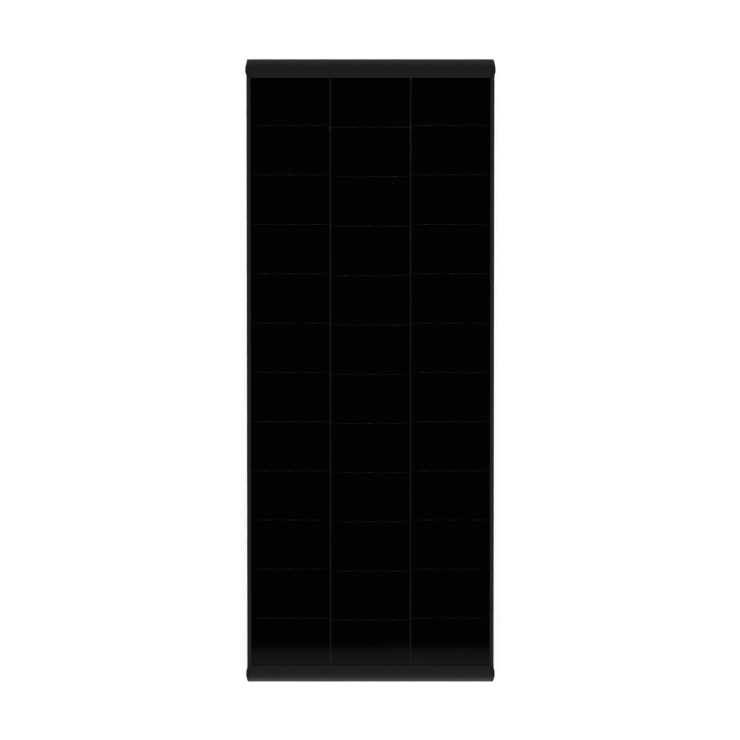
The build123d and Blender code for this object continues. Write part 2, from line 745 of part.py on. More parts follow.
with BuildPart() as junction_box_base:
    with BuildSketch(box_plane(rim_bottom)):
        RectangleRounded(box_width, box_length, box_corner)
    extrude(amount=box_foot - rim_bottom)
    with BuildSketch(box_plane(box_foot)):
        RectangleRounded(foot_width, foot_length, foot_corner)
    extrude(amount=-foot_thickness)
    with BuildSketch(box_plane(rim_bottom)):
        RectangleRounded(foot_width, foot_length, foot_corner)
    extrude(amount=flange_thickness)
    with BuildSketch(box_plane(rim_bottom)):
        RectangleRounded(cavity_width, cavity_length, cavity_corner)
    extrude(amount=cavity_top - rim_bottom, mode=Mode.SUBTRACT)
    # groove for the lid seal
    with BuildSketch(box_plane(rim_bottom)):
        RectangleRounded(
            box_width + seal_centre + seal_width,
            box_length + seal_centre + seal_width,
            foot_corner,
        )
        RectangleRounded(
            box_width + seal_centre - seal_width,
            box_length + seal_centre - seal_width,
            foot_corner - seal_width,
            mode=Mode.SUBTRACT,
        )
    extrude(amount=seal_depth, mode=Mode.SUBTRACT)
    # slots for the three ribbon tails
    with BuildSketch(Plane(origin=(0, exit_y, cavity_top))):
        with GridLocations(lead_pitch, 1, 3, 1):
            Rectangle(*tail_slot)
    extrude(amount=roof_thickness, mode=Mode.SUBTRACT)
    # pilot holes of the terminal screws
    with BuildSketch(Plane(origin=(0, terminal_screw_y, cavity_top))):
        with GridLocations(lead_pitch, 1, 3, 1):
            Circle(terminal_screw_radius + thread_fit)
    extrude(amount=pilot_depth, mode=Mode.SUBTRACT)
    # gland holes in the front wall
    with BuildSketch(Plane.XZ.offset(-wall_y)):
        with Locations(*[(x, gland_z) for x in gland_xs]):
            Circle(thread_radius + thread_gap)
    extrude(amount=-box_wall, mode=Mode.SUBTRACT)
junction_box_base.part.label = "junction_box_base"
export_step(junction_box_base.part, "parts/junction_box_base.step")

with BuildPart() as lid_seal:
    with BuildSketch(box_plane(rim_bottom)):
        RectangleRounded(
            box_width + seal_centre + seal_width,
            box_length + seal_centre + seal_width,
            foot_corner,
        )
        RectangleRounded(
            box_width + seal_centre - seal_width,
            box_length + seal_centre - seal_width,
            foot_corner - seal_width,
            mode=Mode.SUBTRACT,
        )
    extrude(amount=seal_depth)
lid_seal.part.label = "lid_seal"
export_step(lid_seal.part, "parts/lid_seal.step")

skirt_width = cavity_width - 2 * skirt_clearance
skirt_length = cavity_length - 2 * skirt_clearance
with BuildPart() as junction_box_lid:
    with BuildSketch(box_plane(lid_bottom)):
        RectangleRounded(foot_width, foot_length, foot_corner)
    extrude(amount=lid_thickness)
    chamfer(junction_box_lid.faces().sort_by(Axis.Z)[0].edges(), lid_chamfer)
    # shallow panel moulded into the outer face
    with BuildSketch(box_plane(lid_bottom)):
        RectangleRounded(foot_width - 2 * lid_panel_inset, foot_length - 2 * lid_panel_inset, foot_corner)
    extrude(amount=lid_panel_depth, mode=Mode.SUBTRACT)
    # skirt that slips inside the box
    with BuildSketch(box_plane(lid_bottom + lid_thickness)):
        RectangleRounded(skirt_width, skirt_length, cavity_corner)
        RectangleRounded(
            skirt_width - 2 * skirt_wall, skirt_length - 2 * skirt_wall, cavity_corner, mode=Mode.SUBTRACT
        )
    extrude(amount=skirt_height)
    # stiffening ribs
    with BuildSketch(box_plane(lid_bottom + lid_thickness)):
        with GridLocations(lead_pitch, 1, 3, 1):
            Rectangle(rib_thickness, skirt_length - skirt_wall)
        Rectangle(skirt_width - skirt_wall, rib_thickness)
    extrude(amount=rib_height)
    # notches for lifting the lid off
    with BuildSketch(box_plane(lid_bottom + lid_thickness)):
        with GridLocations(foot_width, 1, 2, 1):
            Rectangle(2 * notch_reach, notch_width)
    extrude(amount=-notch_depth, mode=Mode.SUBTRACT)
junction_box_lid.part.label = "junction_box_lid"
export_step(junction_box_lid.part, "parts/junction_box_lid.step")

with BuildPart() as junction_box_adhesive:
    with BuildSketch(box_plane(box_foot)):
        RectangleRounded(foot_width - 2 * pad_inset, foot_length - 2 * pad_inset, foot_corner)
        with Locations((0, exit_y - box_y)):
            Rectangle(2 * (lead_pitch + pad_window_side), pad_window_width, mode=Mode.SUBTRACT)
    extrude(amount=pad_thickness)
junction_box_adhesive.part.label = "junction_box_adhesive"
export_step(junction_box_adhesive.part, "parts/junction_box_adhesive.step")


def terminal(x):
    """Angled clip: a flat foot on the box roof and a tab soldered to the ribbon tail."""
    plate_end = terminal_y + plate_length / 2
    with BuildPart() as clip:
        with BuildSketch(Plane(origin=(x, terminal_y, cavity_top))):
            RectangleRounded(plate_width, plate_length, terminal_corner)
            with Locations((0, terminal_screw_y - terminal_y)):
                Circle(terminal_screw_radius + hole_clearance, mode=Mode.SUBTRACT)
        extrude(amount=-plate_thickness)
        with BuildSketch(Plane(origin=(x, plate_end + plate_thickness / 2, cavity_top))):
            Rectangle(tab_side, plate_thickness)
        extrude(amount=-tab_height)
        with BuildSketch(Plane(origin=(x, plate_end, cavity_top))):
            Rectangle(tab_side, 2 * plate_thickness)
        extrude(amount=-plate_thickness)
    return clip.part


terminal_negative = terminal(-lead_pitch)
terminal_negative.label = "terminal_negative"
export_step(terminal_negative, "parts/terminal_negative.step")

terminal_tap = terminal(0)
terminal_tap.label = "terminal_tap"
export_step(terminal_tap, "parts/terminal_tap.step")

terminal_positive = terminal(lead_pitch)
terminal_positive.label = "terminal_positive"
export_step(terminal_positive, "parts/terminal_positive.step")

terminal_screw = pan_screw(
    terminal_screw_radius, terminal_screw_length, terminal_head_radius, terminal_head_height
)
terminal_screw_planes = [
    Plane(origin=(x, terminal_screw_y, cavity_top - plate_thickness), z_dir=(0, 0, -1))
    for x in (-lead_pitch, 0, lead_pitch)
]
with BuildPart() as terminal_screws:
    with Locations(*terminal_screw_planes):
        add(terminal_screw)
terminal_screws.part.label = "terminal_screws"
export_step(terminal_screws.part, "parts/terminal_screws.step")

# Each bypass diode lies between two neighbouring terminals on bent wire leads.
diode_z = cavity_top - plate_thickness - diode_radius - diode_gap
diode_y = terminal_y - plate_length / 2 + diode_inset
diode_xs = (-lead_pitch / 2, lead_pitch / 2)
lead_foot = lead_pitch / 2 - lead_inset  # from the diode's middle to where a lead meets its terminal
with BuildPart() as bypass_diodes:
    with BuildSketch(Plane.YZ):
        with Locations((diode_y, diode_z)):
            Circle(diode_radius)
    extrude(amount=diode_length / 2, both=True)
    chamfer(bypass_diodes.edges(), diode_chamfer)
single_diode = bypass_diodes.part
with BuildPart() as diode_pair:
    with Locations(*[(x, 0, 0) for x in diode_xs]):
        add(single_diode)
diode_pair.part.label = "bypass_diodes"
export_step(diode_pair.part, "parts/bypass_diodes.step")


def diode_lead(x, side):
    """Round wire from the end of a diode to the foot of the next terminal."""
    with BuildPart() as wire:
        with BuildLine() as bend:
            FilletPolyline(
                (x + side * diode_length / 2, diode_y, diode_z),
                (x + side * lead_foot, diode_y, diode_z),
                (x + side * lead_foot, diode_y, cavity_top - plate_thickness),
                radius=lead_bend,
            )
        with BuildSketch(Plane(origin=bend.line @ 0, z_dir=bend.line % 0)):
            Circle(lead_radius)
        sweep()
    return wire.part


with BuildPart() as diode_leads:
    add([diode_lead(x, side) for x in diode_xs for side in (-1, 1)])
diode_leads.part.label = "diode_leads"
export_step(diode_leads.part, "parts/diode_leads.step")

# =================================================================== cable glands
# Every gland part is turned about an axis that points out of the box's front wall.


def gland_plane(x, out):
    """Plane across the gland axis, this far out of the wall's outer face."""
    return Plane(origin=(x, wall_y - out, gland_z), x_dir=(1, 0, 0), z_dir=(0, -1, 0))


def hexagon(flats):
    """Corner radius of a hexagon with the given width over its flats."""
    return flats / 2 / cos(radians(30))


inner_length = box_wall + locknut_thickness + thread_end  # thread inside the box wall
seal_seat = gland_flange + seal_floor


def gland_body(x):
    with BuildPart() as body:
        with BuildSketch(gland_plane(x, 0)):
            RegularPolygon(hexagon(gland_flats), 6)
        extrude(amount=gland_flange)
        with BuildSketch(gland_plane(x, -inner_length)):
            Circle(thread_radius)
        extrude(amount=inner_length + gland_flange + gland_thread_length)
        with BuildSketch(gland_plane(x, -inner_length)):
            Circle(gland_bore)
        extrude(amount=inner_length + gland_flange + gland_thread_length, mode=Mode.SUBTRACT)
        with BuildSketch(gland_plane(x, seal_seat)):
            Circle(seal_socket)
        extrude(amount=gland_thread_length - seal_floor, mode=Mode.SUBTRACT)
    return body.part


def gland_locknut(x):
    with BuildPart() as locknut:
        with BuildSketch(gland_plane(x, -box_wall)):
            RegularPolygon(hexagon(locknut_flats), 6)
            Circle(thread_radius + thread_gap, mode=Mode.SUBTRACT)
        extrude(amount=-locknut_thickness)
    return locknut.part


def gland_seal(x):
    with BuildPart() as seal:
        with BuildSketch(gland_plane(x, seal_seat)):
            Circle(seal_socket)
        extrude(amount=gland_thread_length - seal_floor)
        with BuildSketch(gland_plane(x, gland_flange + gland_thread_length)):
            Circle(ring_radius)
        extrude(amount=seal_head)
        with BuildSketch(gland_plane(x, seal_seat)):
            Circle(seal_bore)
        extrude(amount=gland_thread_length - seal_floor + seal_head, mode=Mode.SUBTRACT)
    return seal.part


ring_start = nut_start + nut_length - nut_end - ring_thickness


def gland_slip_ring(x):
    with BuildPart() as ring:
        with BuildSketch(gland_plane(x, ring_start)):
            Circle(ring_radius)
            Circle(nut_hole, mode=Mode.SUBTRACT)
        extrude(amount=ring_thickness)
    return ring.part


def gland_cap_nut(x):
    with BuildPart() as nut:
        with BuildSketch(gland_plane(x, nut_start)):
            RegularPolygon(hexagon(gland_flats), 6)
        extrude(amount=nut_length - nut_end)
        with BuildSketch(gland_plane(x, nut_start + nut_length - nut_end)):
            Circle(gland_flats / 2)
        extrude(amount=nut_end, taper=nut_taper)
        with BuildSketch(gland_plane(x, nut_start)):
            Circle(thread_radius + thread_gap)
        extrude(amount=nut_length - nut_end, mode=Mode.SUBTRACT)
        with BuildSketch(gland_plane(x, nut_start)):
            Circle(nut_hole)
        extrude(amount=nut_length, mode=Mode.SUBTRACT)
    return nut.part


left_x = gland_xs[0]
right_x = gland_xs[1]

gland_body_left = gland_body(left_x)
gland_body_left.label = "gland_body_left"
export_step(gland_body_left, "parts/gland_body_left.step")

gland_body_right = gland_body(right_x)
gland_body_right.label = "gland_body_right"
export_step(gland_body_right, "parts/gland_body_right.step")

gland_locknut_left = gland_locknut(left_x)
gland_locknut_left.label = "gland_locknut_left"
export_step(gland_locknut_left, "parts/gland_locknut_left.step")

gland_locknut_right = gland_locknut(right_x)
gland_locknut_right.label = "gland_locknut_right"
export_step(gland_locknut_right, "parts/gland_locknut_right.step")

gland_seal_left = gland_seal(left_x)
gland_seal_left.label = "gland_seal_left"
export_step(gland_seal_left, "parts/gland_seal_left.step")

gland_seal_right = gland_seal(right_x)
gland_seal_right.label = "gland_seal_right"
export_step(gland_seal_right, "parts/gland_seal_right.step")

gland_slip_ring_left = gland_slip_ring(left_x)
gland_slip_ring_left.label = "gland_slip_ring_left"
export_step(gland_slip_ring_left, "parts/gland_slip_ring_left.step")

gland_slip_ring_right = gland_slip_ring(right_x)
gland_slip_ring_right.label = "gland_slip_ring_right"
export_step(gland_slip_ring_right, "parts/gland_slip_ring_right.step")

gland_cap_nut_left = gland_cap_nut(left_x)
gland_cap_nut_left.label = "gland_cap_nut_left"
export_step(gland_cap_nut_left, "parts/gland_cap_nut_left.step")

gland_cap_nut_right = gland_cap_nut(right_x)
gland_cap_nut_right.label = "gland_cap_nut_right"
export_step(gland_cap_nut_right, "parts/gland_cap_nut_right.step")
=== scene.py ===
import math
import bmesh
import bpy
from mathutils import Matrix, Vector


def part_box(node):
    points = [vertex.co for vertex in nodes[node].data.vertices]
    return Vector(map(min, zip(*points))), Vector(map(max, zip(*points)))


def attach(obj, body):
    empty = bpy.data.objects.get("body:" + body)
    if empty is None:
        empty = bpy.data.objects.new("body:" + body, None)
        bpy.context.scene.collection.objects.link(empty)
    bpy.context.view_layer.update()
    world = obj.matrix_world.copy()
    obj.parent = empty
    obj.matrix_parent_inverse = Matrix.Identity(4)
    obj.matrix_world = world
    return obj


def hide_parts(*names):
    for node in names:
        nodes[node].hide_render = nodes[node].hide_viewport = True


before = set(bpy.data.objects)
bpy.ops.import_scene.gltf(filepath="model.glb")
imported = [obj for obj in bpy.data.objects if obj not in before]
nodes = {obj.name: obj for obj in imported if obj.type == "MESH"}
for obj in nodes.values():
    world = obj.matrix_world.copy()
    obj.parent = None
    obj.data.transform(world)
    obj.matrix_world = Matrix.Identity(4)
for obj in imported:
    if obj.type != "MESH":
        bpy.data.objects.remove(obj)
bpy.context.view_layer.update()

# ------------------------------------------------------------------ viewpoint
# The panel is looked at from almost straight above, from slightly behind its middle,
# through a long lens, so its sides stay parallel.
VIEW_HEIGHT = 8.0  # metres above the mounting face
VIEW_BACK = 0.402  # and so far behind the middle of the panel
SIDEWAYS = -0.0009
LOOK_AT = 0.0027  # the point aimed at, behind the middle
LENS = 188.0  # millimetres
SENSOR = 36.0
FAR_CLIP = 100.0

camera_data = bpy.data.cameras.new("viewpoint")
camera_data.lens = LENS
camera_data.sensor_width = SENSOR
camera_data.clip_end = FAR_CLIP
camera = bpy.data.objects.new("viewpoint", camera_data)
camera.location = (SIDEWAYS, VIEW_BACK, VIEW_HEIGHT)
camera.rotation_euler = (-math.atan2(VIEW_BACK - LOOK_AT, VIEW_HEIGHT), 0.0, 0.0)
bpy.context.scene.collection.objects.link(camera)
bpy.context.scene.camera = camera
bpy.context.scene.view_settings.view_transform = "Standard"
bpy.context.scene.view_settings.look = "None"

# ------------------------------------------------------------------ end profiles
# The two aerofoil end profiles are one aluminium extrusion, sawn to length, brushed
# along its run by the die and dyed black in the anodising bath.  They carry the panel
# on their feet and hold the short edges of the laminate.


class Number:
    """One value in a shader, written with ordinary operators."""

    def __init__(self, finish, socket):
        self.finish = finish
        self.socket = socket

    def math(self, operation, *others, clamp=False):
        settings = {"operation": operation, "use_clamp": clamp}
        node = self.finish.node("ShaderNodeMath", settings, dict(enumerate(others)))
        return Number(self.finish, node.outputs[0])

    def __add__(self, other):
        return self.math("ADD", self, other)

    def __radd__(self, other):
        return self.math("ADD", other, self)

    def __sub__(self, other):
        return self.math("SUBTRACT", self, other)

    def __rsub__(self, other):
        return self.math("SUBTRACT", other, self)

    def __mul__(self, other):
        return self.math("MULTIPLY", self, other)

    def __rmul__(self, other):
        return self.math("MULTIPLY", other, self)

    def __truediv__(self, other):
        return self.math("DIVIDE", self, other)

    def __pow__(self, other):
        return self.math("POWER", self, other)

    def __gt__(self, other):
        return self.math("GREATER_THAN", self, other)

    def __lt__(self, other):
        return self.math("LESS_THAN", self, other)

    def clamped(self):
        return self.math("ADD", self, 0.0, clamp=True)

    def rising(self, low, high):
        """0 below low, 1 above high, smooth between."""
        settings = {"interpolation_type": "SMOOTHSTEP"}
        node = self.finish.node("ShaderNodeMapRange", settings, {0: self, 1: low, 2: high})
        return Number(self.finish, node.outputs[0])


class Finish:
    """A node material built up around one Principled shader."""

    def __init__(self, name, colour=(0.5, 0.5, 0.5), roughness=0.5, metallic=0.0, **uniform):
        self.material = bpy.data.materials.new(name)
        self.material.use_nodes = True
        self.tree = self.material.node_tree
        self.tree.nodes.clear()
        self.place = None
        self.skin = self.node("ShaderNodeBsdfPrincipled")
        self.skin.inputs["Base Color"].default_value = (*colour, 1.0)
        self.skin.inputs["Roughness"].default_value = roughness
        self.skin.inputs["Metallic"].default_value = metallic
        for name_of_socket, value in uniform.items():
            self.skin.inputs[name_of_socket.replace("_", " ")].default_value = value
        self.output = self.node("ShaderNodeOutputMaterial", None, {"Surface": self.skin.outputs[0]})

    def node(self, kind, settings=None, sockets=None):
        """Adds one node: its settings first, then the values or links of its sockets."""
        node = self.tree.nodes.new(kind)
        for key, value in (settings or {}).items():
            if key == "stops":
                ramp = node.color_ramp
                while len(ramp.elements) < len(value):
                    ramp.elements.new(1.0)
                for element, (position, shade) in zip(ramp.elements, value):
                    element.position = position
                    element.color = shade
            else:
                setattr(node, key, value)
        for key, value in (sockets or {}).items():
            socket = node.inputs[key]
            if isinstance(value, Number):
                value = value.socket
            if isinstance(value, bpy.types.NodeSocket):
                self.tree.links.new(value, socket)
            else:
                socket.default_value = value
        return node

    def where(self, stretch=(1.0, 1.0, 1.0)):
        """The point on the piece in metres, stretched along each axis."""
        if self.place is None:
            self.place = self.node("ShaderNodeTexCoord").outputs["Object"]
        if stretch == (1.0, 1.0, 1.0):
            return self.place
        node = self.node("ShaderNodeVectorMath", {"operation": "MULTIPLY"}, {0: self.place, 1: stretch})
        return node.outputs[0]

    def noise(self, scale, stretch=(1.0, 1.0, 1.0), detail=3.0, rough=0.5):
        """Cloudy pattern with about so many spots to the metre, from 0 to 1."""
        sockets = {"Vector": self.where(stretch), "Scale": scale, "Detail": detail, "Roughness": rough}
        return Number(self, self.node("ShaderNodeTexNoise", None, sockets).outputs[0])

    def grains(self, scale, stretch=(1.0, 1.0, 1.0)):
        """Distance to the nearest grain centre."""
        sockets = {"Vector": self.where(stretch), "Scale": scale}
        return Number(self, self.node("ShaderNodeTexVoronoi", None, sockets).outputs[0])

    def colours(self, mask, low, high):
        """From the low colour to the high one as the mask goes from 0 to 1."""
        sockets = {0: mask, 6: (*low, 1.0), 7: (*high, 1.0)}
        return self.node("ShaderNodeMix", {"data_type": "RGBA"}, sockets).outputs[2]

    def feed(self, **links):
        for key, value in links.items():
            if isinstance(value, Number):
                value = value.socket
            self.tree.links.new(value, self.skin.inputs[key.replace("_", " ")])

    def bump(self, height, depth):
        """Raises the surface by so many metres where height is 1."""
        sockets = {"Height": height, "Distance": depth, "Strength": 1.0}
        self.feed(Normal=self.node("ShaderNodeBump", None, sockets).outputs[0])

    def coat(self, *names):
        """Gives this finish to the named nodes or objects."""
        for name in names:
            piece = nodes[name] if isinstance(name, str) else name
            piece.data.materials.clear()
            piece.data.materials.append(self.material)


DEEP_DYE = (0.0053, 0.0053, 0.0055)
WORN_DYE = (0.0083, 0.0083, 0.0086)
LINE_DEPTH = 0.000012


def black_anodised(name, along, gloss, painted_light_tone):
    """Satin black oxide with faint die lines that run along the extrusion; its colour is scaled per piece
    as painted light and shade.
    """
    fine = 900.0  # die lines to the metre, side by side
    broad = 30.0  # patches of the dye bath to the metre
    finish = Finish(name, roughness=0.65, Specular_IOR_Level=gloss)
    lines = finish.noise(1.0, (1.5, fine, fine) if along == "X" else (fine, 1.5, fine), detail=4.0)
    clouds = finish.noise(1.0, (0.4, broad, broad) if along == "X" else (broad, 0.4, broad), detail=2.0)
    specks = finish.noise(2600.0, detail=1.0)
    shade = (lines * 0.35 + clouds * 0.4 + specks * 0.25).clamped()
    # Painted light and shade: the dye colours are scaled per piece, so copies of one black read lighter or
    # darker.
    deep = [painted_light_tone * value for value in DEEP_DYE]
    worn = [painted_light_tone * value for value in WORN_DYE]
    finish.feed(Base_Color=finish.colours(shade, deep, worn))
    finish.feed(Roughness=0.60 + lines * 0.07 + clouds * 0.05)
    finish.bump(lines * 0.7 + specks * 0.3, LINE_DEPTH)
    return finish


# Painted light and shade: both end profiles are the same black, but the rear copy is painted lighter with
# less gloss and the front copy darker with more gloss.
black_anodised("black_anodised_front_painted_darker", "X", gloss=0.10, painted_light_tone=1.08).coat("spoiler_front")
black_anodised("black_anodised_rear_painted_lighter", "X", gloss=0.015, painted_light_tone=1.25).coat("spoiler_rear")

# ------------------------------------------------------------------ side rails
# Two lower aluminium rails of the same anodised black close the long edges.  They are
# butted against the end profiles and screwed to them through angle brackets.
# Painted light: the rails are the same black as the end profiles but are painted lighter (tone 1.35), with
# more gloss.
rail_finish = black_anodised("black_anodised_rail_painted_lighter", "Y", gloss=0.12, painted_light_tone=1.35)
rail_finish.coat("side_rail_left", "side_rail_right")

# ------------------------------------------------------------------ end caps
# A moulded cap of black weatherproof plastic closes each open end of the profiles.
# Its skin carries the fine spark-eroded texture of the mould.


GRAIN_DEPTH = 0.00003


def moulded_plastic(name, dark, light, grain=1500.0, roughness=0.52, gloss=0.3):
    """Black plastic with the pitted skin of its mould, so many pits to the metre."""
    finish = Finish(name, roughness=roughness, Specular_IOR_Level=gloss)
    bumps = finish.grains(grain)
    flow = finish.noise(24.0, detail=3.0)
    finish.feed(Base_Color=finish.colours((bumps * 0.5 + flow * 0.6).clamped(), dark, light))
    finish.feed(Roughness=(roughness - 0.06) + flow * 0.1)
    finish.bump(bumps, GRAIN_DEPTH)
    return finish


CAP_DARK = (0.0042, 0.0042, 0.0044)
CAP_LIGHT = (0.0070, 0.0070, 0.0072)

cap_plastic = moulded_plastic("cap_plastic", CAP_DARK, CAP_LIGHT, roughness=0.7, gloss=0.08)
cap_plastic.coat("end_cap_front_left", "end_cap_front_right", "end_cap_rear_left", "end_cap_rear_right")

# ------------------------------------------------------------------ screws
# Cross-recessed stainless screws hold the caps and the brackets; the turned heads keep
# fine tool marks and a little dirt in random patches.
stainless = Finish("stainless_screw", (0.56, 0.55, 0.53), 0.3, 1.0)
turning = stainless.noise(3000.0, detail=2.0)
dirt = stainless.noise(420.0, detail=3.0).rising(0.45, 0.7)
stainless.feed(Base_Color=stainless.colours(dirt, (0.6, 0.59, 0.57), (0.36, 0.34, 0.31)))
stainless.feed(Roughness=0.24 + turning * 0.14 + dirt * 0.12)
stainless.bump(turning, 0.00001)
stainless.coat("end_cap_screws", "bracket_screws", "terminal_screws")

# ------------------------------------------------------------------ corner brackets
# Four short lengths of mill-finish aluminium angle join the rails to the end profiles.
bracket_metal = Finish("mill_aluminium", (0.62, 0.62, 0.61), 0.4, 1.0)
drawn = bracket_metal.noise(1.0, (900.0, 900.0, 12.0), detail=4.0)
handling = bracket_metal.noise(160.0, detail=4.0)
bracket_metal.feed(Base_Color=bracket_metal.colours(handling, (0.5, 0.5, 0.49), (0.68, 0.68, 0.66)))
bracket_metal.feed(Roughness=0.3 + drawn * 0.15 + handling * 0.1)
bracket_metal.bump(drawn, 0.00001)
corners = ("front_left", "front_right", "rear_left", "rear_right")
bracket_metal.coat(*[f"corner_bracket_{corner}" for corner in corners])

# ------------------------------------------------------------------ edge gasket
# One black rubber channel is stretched round the edge of the laminate before the frame
# is pushed on, so that glass and aluminium never touch.
rubber = Finish("black_rubber", roughness=0.7, Specular_IOR_Level=0.35)
bloom = rubber.noise(90.0, detail=4.0)
pores = rubber.noise(2200.0, detail=2.0)
rubber.feed(Base_Color=rubber.colours(bloom, (0.006, 0.006, 0.006), (0.013, 0.013, 0.012)))
rubber.feed(Roughness=0.6 + bloom * 0.2)
rubber.bump(pores, 0.00002)
rubber.coat("edge_gasket", "lid_seal", "gland_seal_left", "gland_seal_right")

# ------------------------------------------------------------------ front glass
# Low-iron tempered glass covers the whole laminate.  What is seen of it is its clear
# surface reflection; the rest of the light goes through to the cells.
GLASS_IOR = 1.42
WAVE_DEPTH = 0.00002

glass = Finish("clear_glass", (1.0, 1.0, 1.0), 0.02, 1.0)
waviness = glass.noise(14.0, detail=1.0)
glass.bump(waviness, WAVE_DEPTH)
mirror_share = glass.node("ShaderNodeFresnel", None, {"IOR": GLASS_IOR})
clear = glass.node("ShaderNodeBsdfTransparent", None, {"Color": (0.97, 0.985, 0.98, 1.0)})
pane = glass.node(
    "ShaderNodeMixShader", None, {0: mirror_share.outputs[0], 1: clear.outputs[0], 2: glass.skin.outputs[0]}
)
glass.tree.links.new(pane.outputs[0], glass.output.inputs["Surface"])
glass.coat("front_glass")

# ------------------------------------------------------------------ clear film
# Two polymer films are melted round the cells between the glass and the backsheet and
# become one clear body.  Its lower face is grown on to the backsheet, so it has none.
FILM_INSET = 0.0008  # metres inside the edge of the glass
FILM_CORNER = 0.004
CORNER_STEPS = 6
CLEARANCE = 0.00003  # below the glass and above the foot of the film

(glass_x0, glass_y0, _), (glass_x1, glass_y1, _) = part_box("front_glass")
film_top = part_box("encapsulant_front")[1][2] - CLEARANCE
film_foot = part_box("encapsulant_rear")[0][2] + CLEARANCE
reach = FILM_INSET + FILM_CORNER
outline = []
for centre_x, centre_y, start in (
    (glass_x1 - reach, glass_y1 - reach, 0),
    (glass_x0 + reach, glass_y1 - reach, 90),
    (glass_x0 + reach, glass_y0 + reach, 180),
    (glass_x1 - reach, glass_y0 + reach, 270),
):
    for step in range(CORNER_STEPS + 1):
        angle = math.radians(start + 90 * step / CORNER_STEPS)
        corner_x = centre_x + FILM_CORNER * math.cos(angle)
        corner_y = centre_y + FILM_CORNER * math.sin(angle)
        outline.append((corner_x, corner_y))
sheet = bmesh.new()
upper_rim = [sheet.verts.new((x, y, film_top)) for x, y in outline]
lower_rim = [sheet.verts.new((x, y, film_foot)) for x, y in outline]
sheet.faces.new(upper_rim)
for here in range(len(outline)):
    after = (here + 1) % len(outline)
    sheet.faces.new((upper_rim[here], lower_rim[here], lower_rim[after], upper_rim[after]))
film_mesh = bpy.data.meshes.new("clear_film")
sheet.to_mesh(film_mesh)
sheet.free()
clear_film = bpy.data.objects.new("clear_film", film_mesh)
bpy.context.scene.collection.objects.link(clear_film)
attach(clear_film, "panel")
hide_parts("encapsulant_front", "encapsulant_rear")

HAZE = 0.01

film = Finish("clear_film", (0.01, 0.01, 0.01), 0.6, Specular_IOR_Level=0.05)
haze = film.noise(40.0, detail=2.0) * HAZE
film_body = film.node("ShaderNodeBsdfTransparent", None, {"Color": (0.99, 0.99, 0.985, 1.0)})
film_mix = film.node(
    "ShaderNodeMixShader", None, {0: haze, 1: film_body.outputs[0], 2: film.skin.outputs[0]}
)
film.tree.links.new(film_mix.outputs[0], film.output.inputs["Surface"])
film.coat(clear_film)

# ------------------------------------------------------------------ solar cells
# Thirty-six square-cornered back-contact cells in three strings.  The face of each is
# dark textured silicon without any wires on it.
CELL_COAT = {"Coat_Weight": 1.0, "Coat_Roughness": 0.01, "Coat_IOR": 1.45}  # nitride layer

cell = Finish("dark_silicon", roughness=0.6, Specular_IOR_Level=0.0, **CELL_COAT)
blotch = cell.noise(6.0, detail=2.0)
texture = cell.noise(1800.0, detail=2.0)
cell.feed(Base_Color=cell.colours(blotch, (0.0007, 0.00072, 0.00080), (0.0012, 0.00124, 0.00134)))
cell.feed(Roughness=0.42 + texture * 0.16)
cell.bump(texture, 0.000004)
cell.coat("cells_string_left", "cells_string_middle", "cells_string_right")

# ------------------------------------------------------------------ tabs and ribbons
# Flat tinned copper joins the cells behind their backs.  Where it could show in a gap
# it is lacquered dark.
lacquered = Finish("dark_lacquered_copper", (0.012, 0.012, 0.013), 0.5, 0.0)
brushing = lacquered.noise(700.0, detail=3.0)
lacquered.feed(Base_Color=lacquered.colours(brushing, (0.006, 0.006, 0.007), (0.012, 0.012, 0.013)))
lacquered.feed(Roughness=0.45 + brushing * 0.15)
lacquered.bump(brushing, 0.000006)
lacquered.coat(
    "interconnect_tabs_left",
    "interconnect_tabs_middle",
    "interconnect_tabs_right",
    "cross_ribbon",
    "lead_ribbon_negative",
    "lead_ribbon_tap",
    "lead_ribbon_positive",
    "ribbon_insulation",
)

# ------------------------------------------------------------------ backsheet
# A black polymer sheet seals the back of the laminate.  It shows as the thin lines
# between the cells and as the whole underside of the panel.
backing = Finish("black_backsheet", roughness=0.6, Specular_IOR_Level=0.15)
weave = backing.noise(900.0, detail=2.0)
ripple = backing.noise(9.0, (1.0, 1.0, 0.0), detail=2.0)
backing.feed(Base_Color=backing.colours(ripple, (0.0058, 0.0058, 0.0060), (0.0088, 0.0088, 0.0090)))
backing.feed(Roughness=0.42 + weave * 0.14)
backing.bump(ripple * 0.9 + weave * 0.1, 0.0003)
backing.coat("backsheet")

# ------------------------------------------------------------------ rating label
# A blank silver-grey film label is stuck on the backsheet near the junction box.
BORDER = 0.004
BORDER_GREY = (0.12, 0.12, 0.12, 1.0)

label = Finish("label_film", (0.6, 0.6, 0.58), 0.35, 0.0)
(label_x0, label_y0, _), (label_x1, label_y1, _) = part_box("rating_label")
spot = label.node("ShaderNodeSeparateXYZ", None, {0: label.where()})
across = Number(label, spot.outputs[0]) - (label_x0 + label_x1) / 2
along = Number(label, spot.outputs[1]) - (label_y0 + label_y1) / 2
past_side = across.math("ABSOLUTE", across) > (label_x1 - label_x0) / 2 - BORDER
past_end = along.math("ABSOLUTE", along) > (label_y1 - label_y0) / 2 - BORDER
border = (past_side + past_end).clamped()
smudge = label.noise(60.0, detail=4.0)
plain = label.colours(smudge, (0.52, 0.52, 0.5), (0.62, 0.62, 0.6))
edge = label.node("ShaderNodeMix", {"data_type": "RGBA"}, {0: border, 6: plain, 7: BORDER_GREY})
label.feed(Base_Color=edge.outputs[2], Roughness=0.3 + smudge * 0.15)
label.bump(label.noise(500.0, detail=2.0), 0.00001)
label.coat("rating_label")

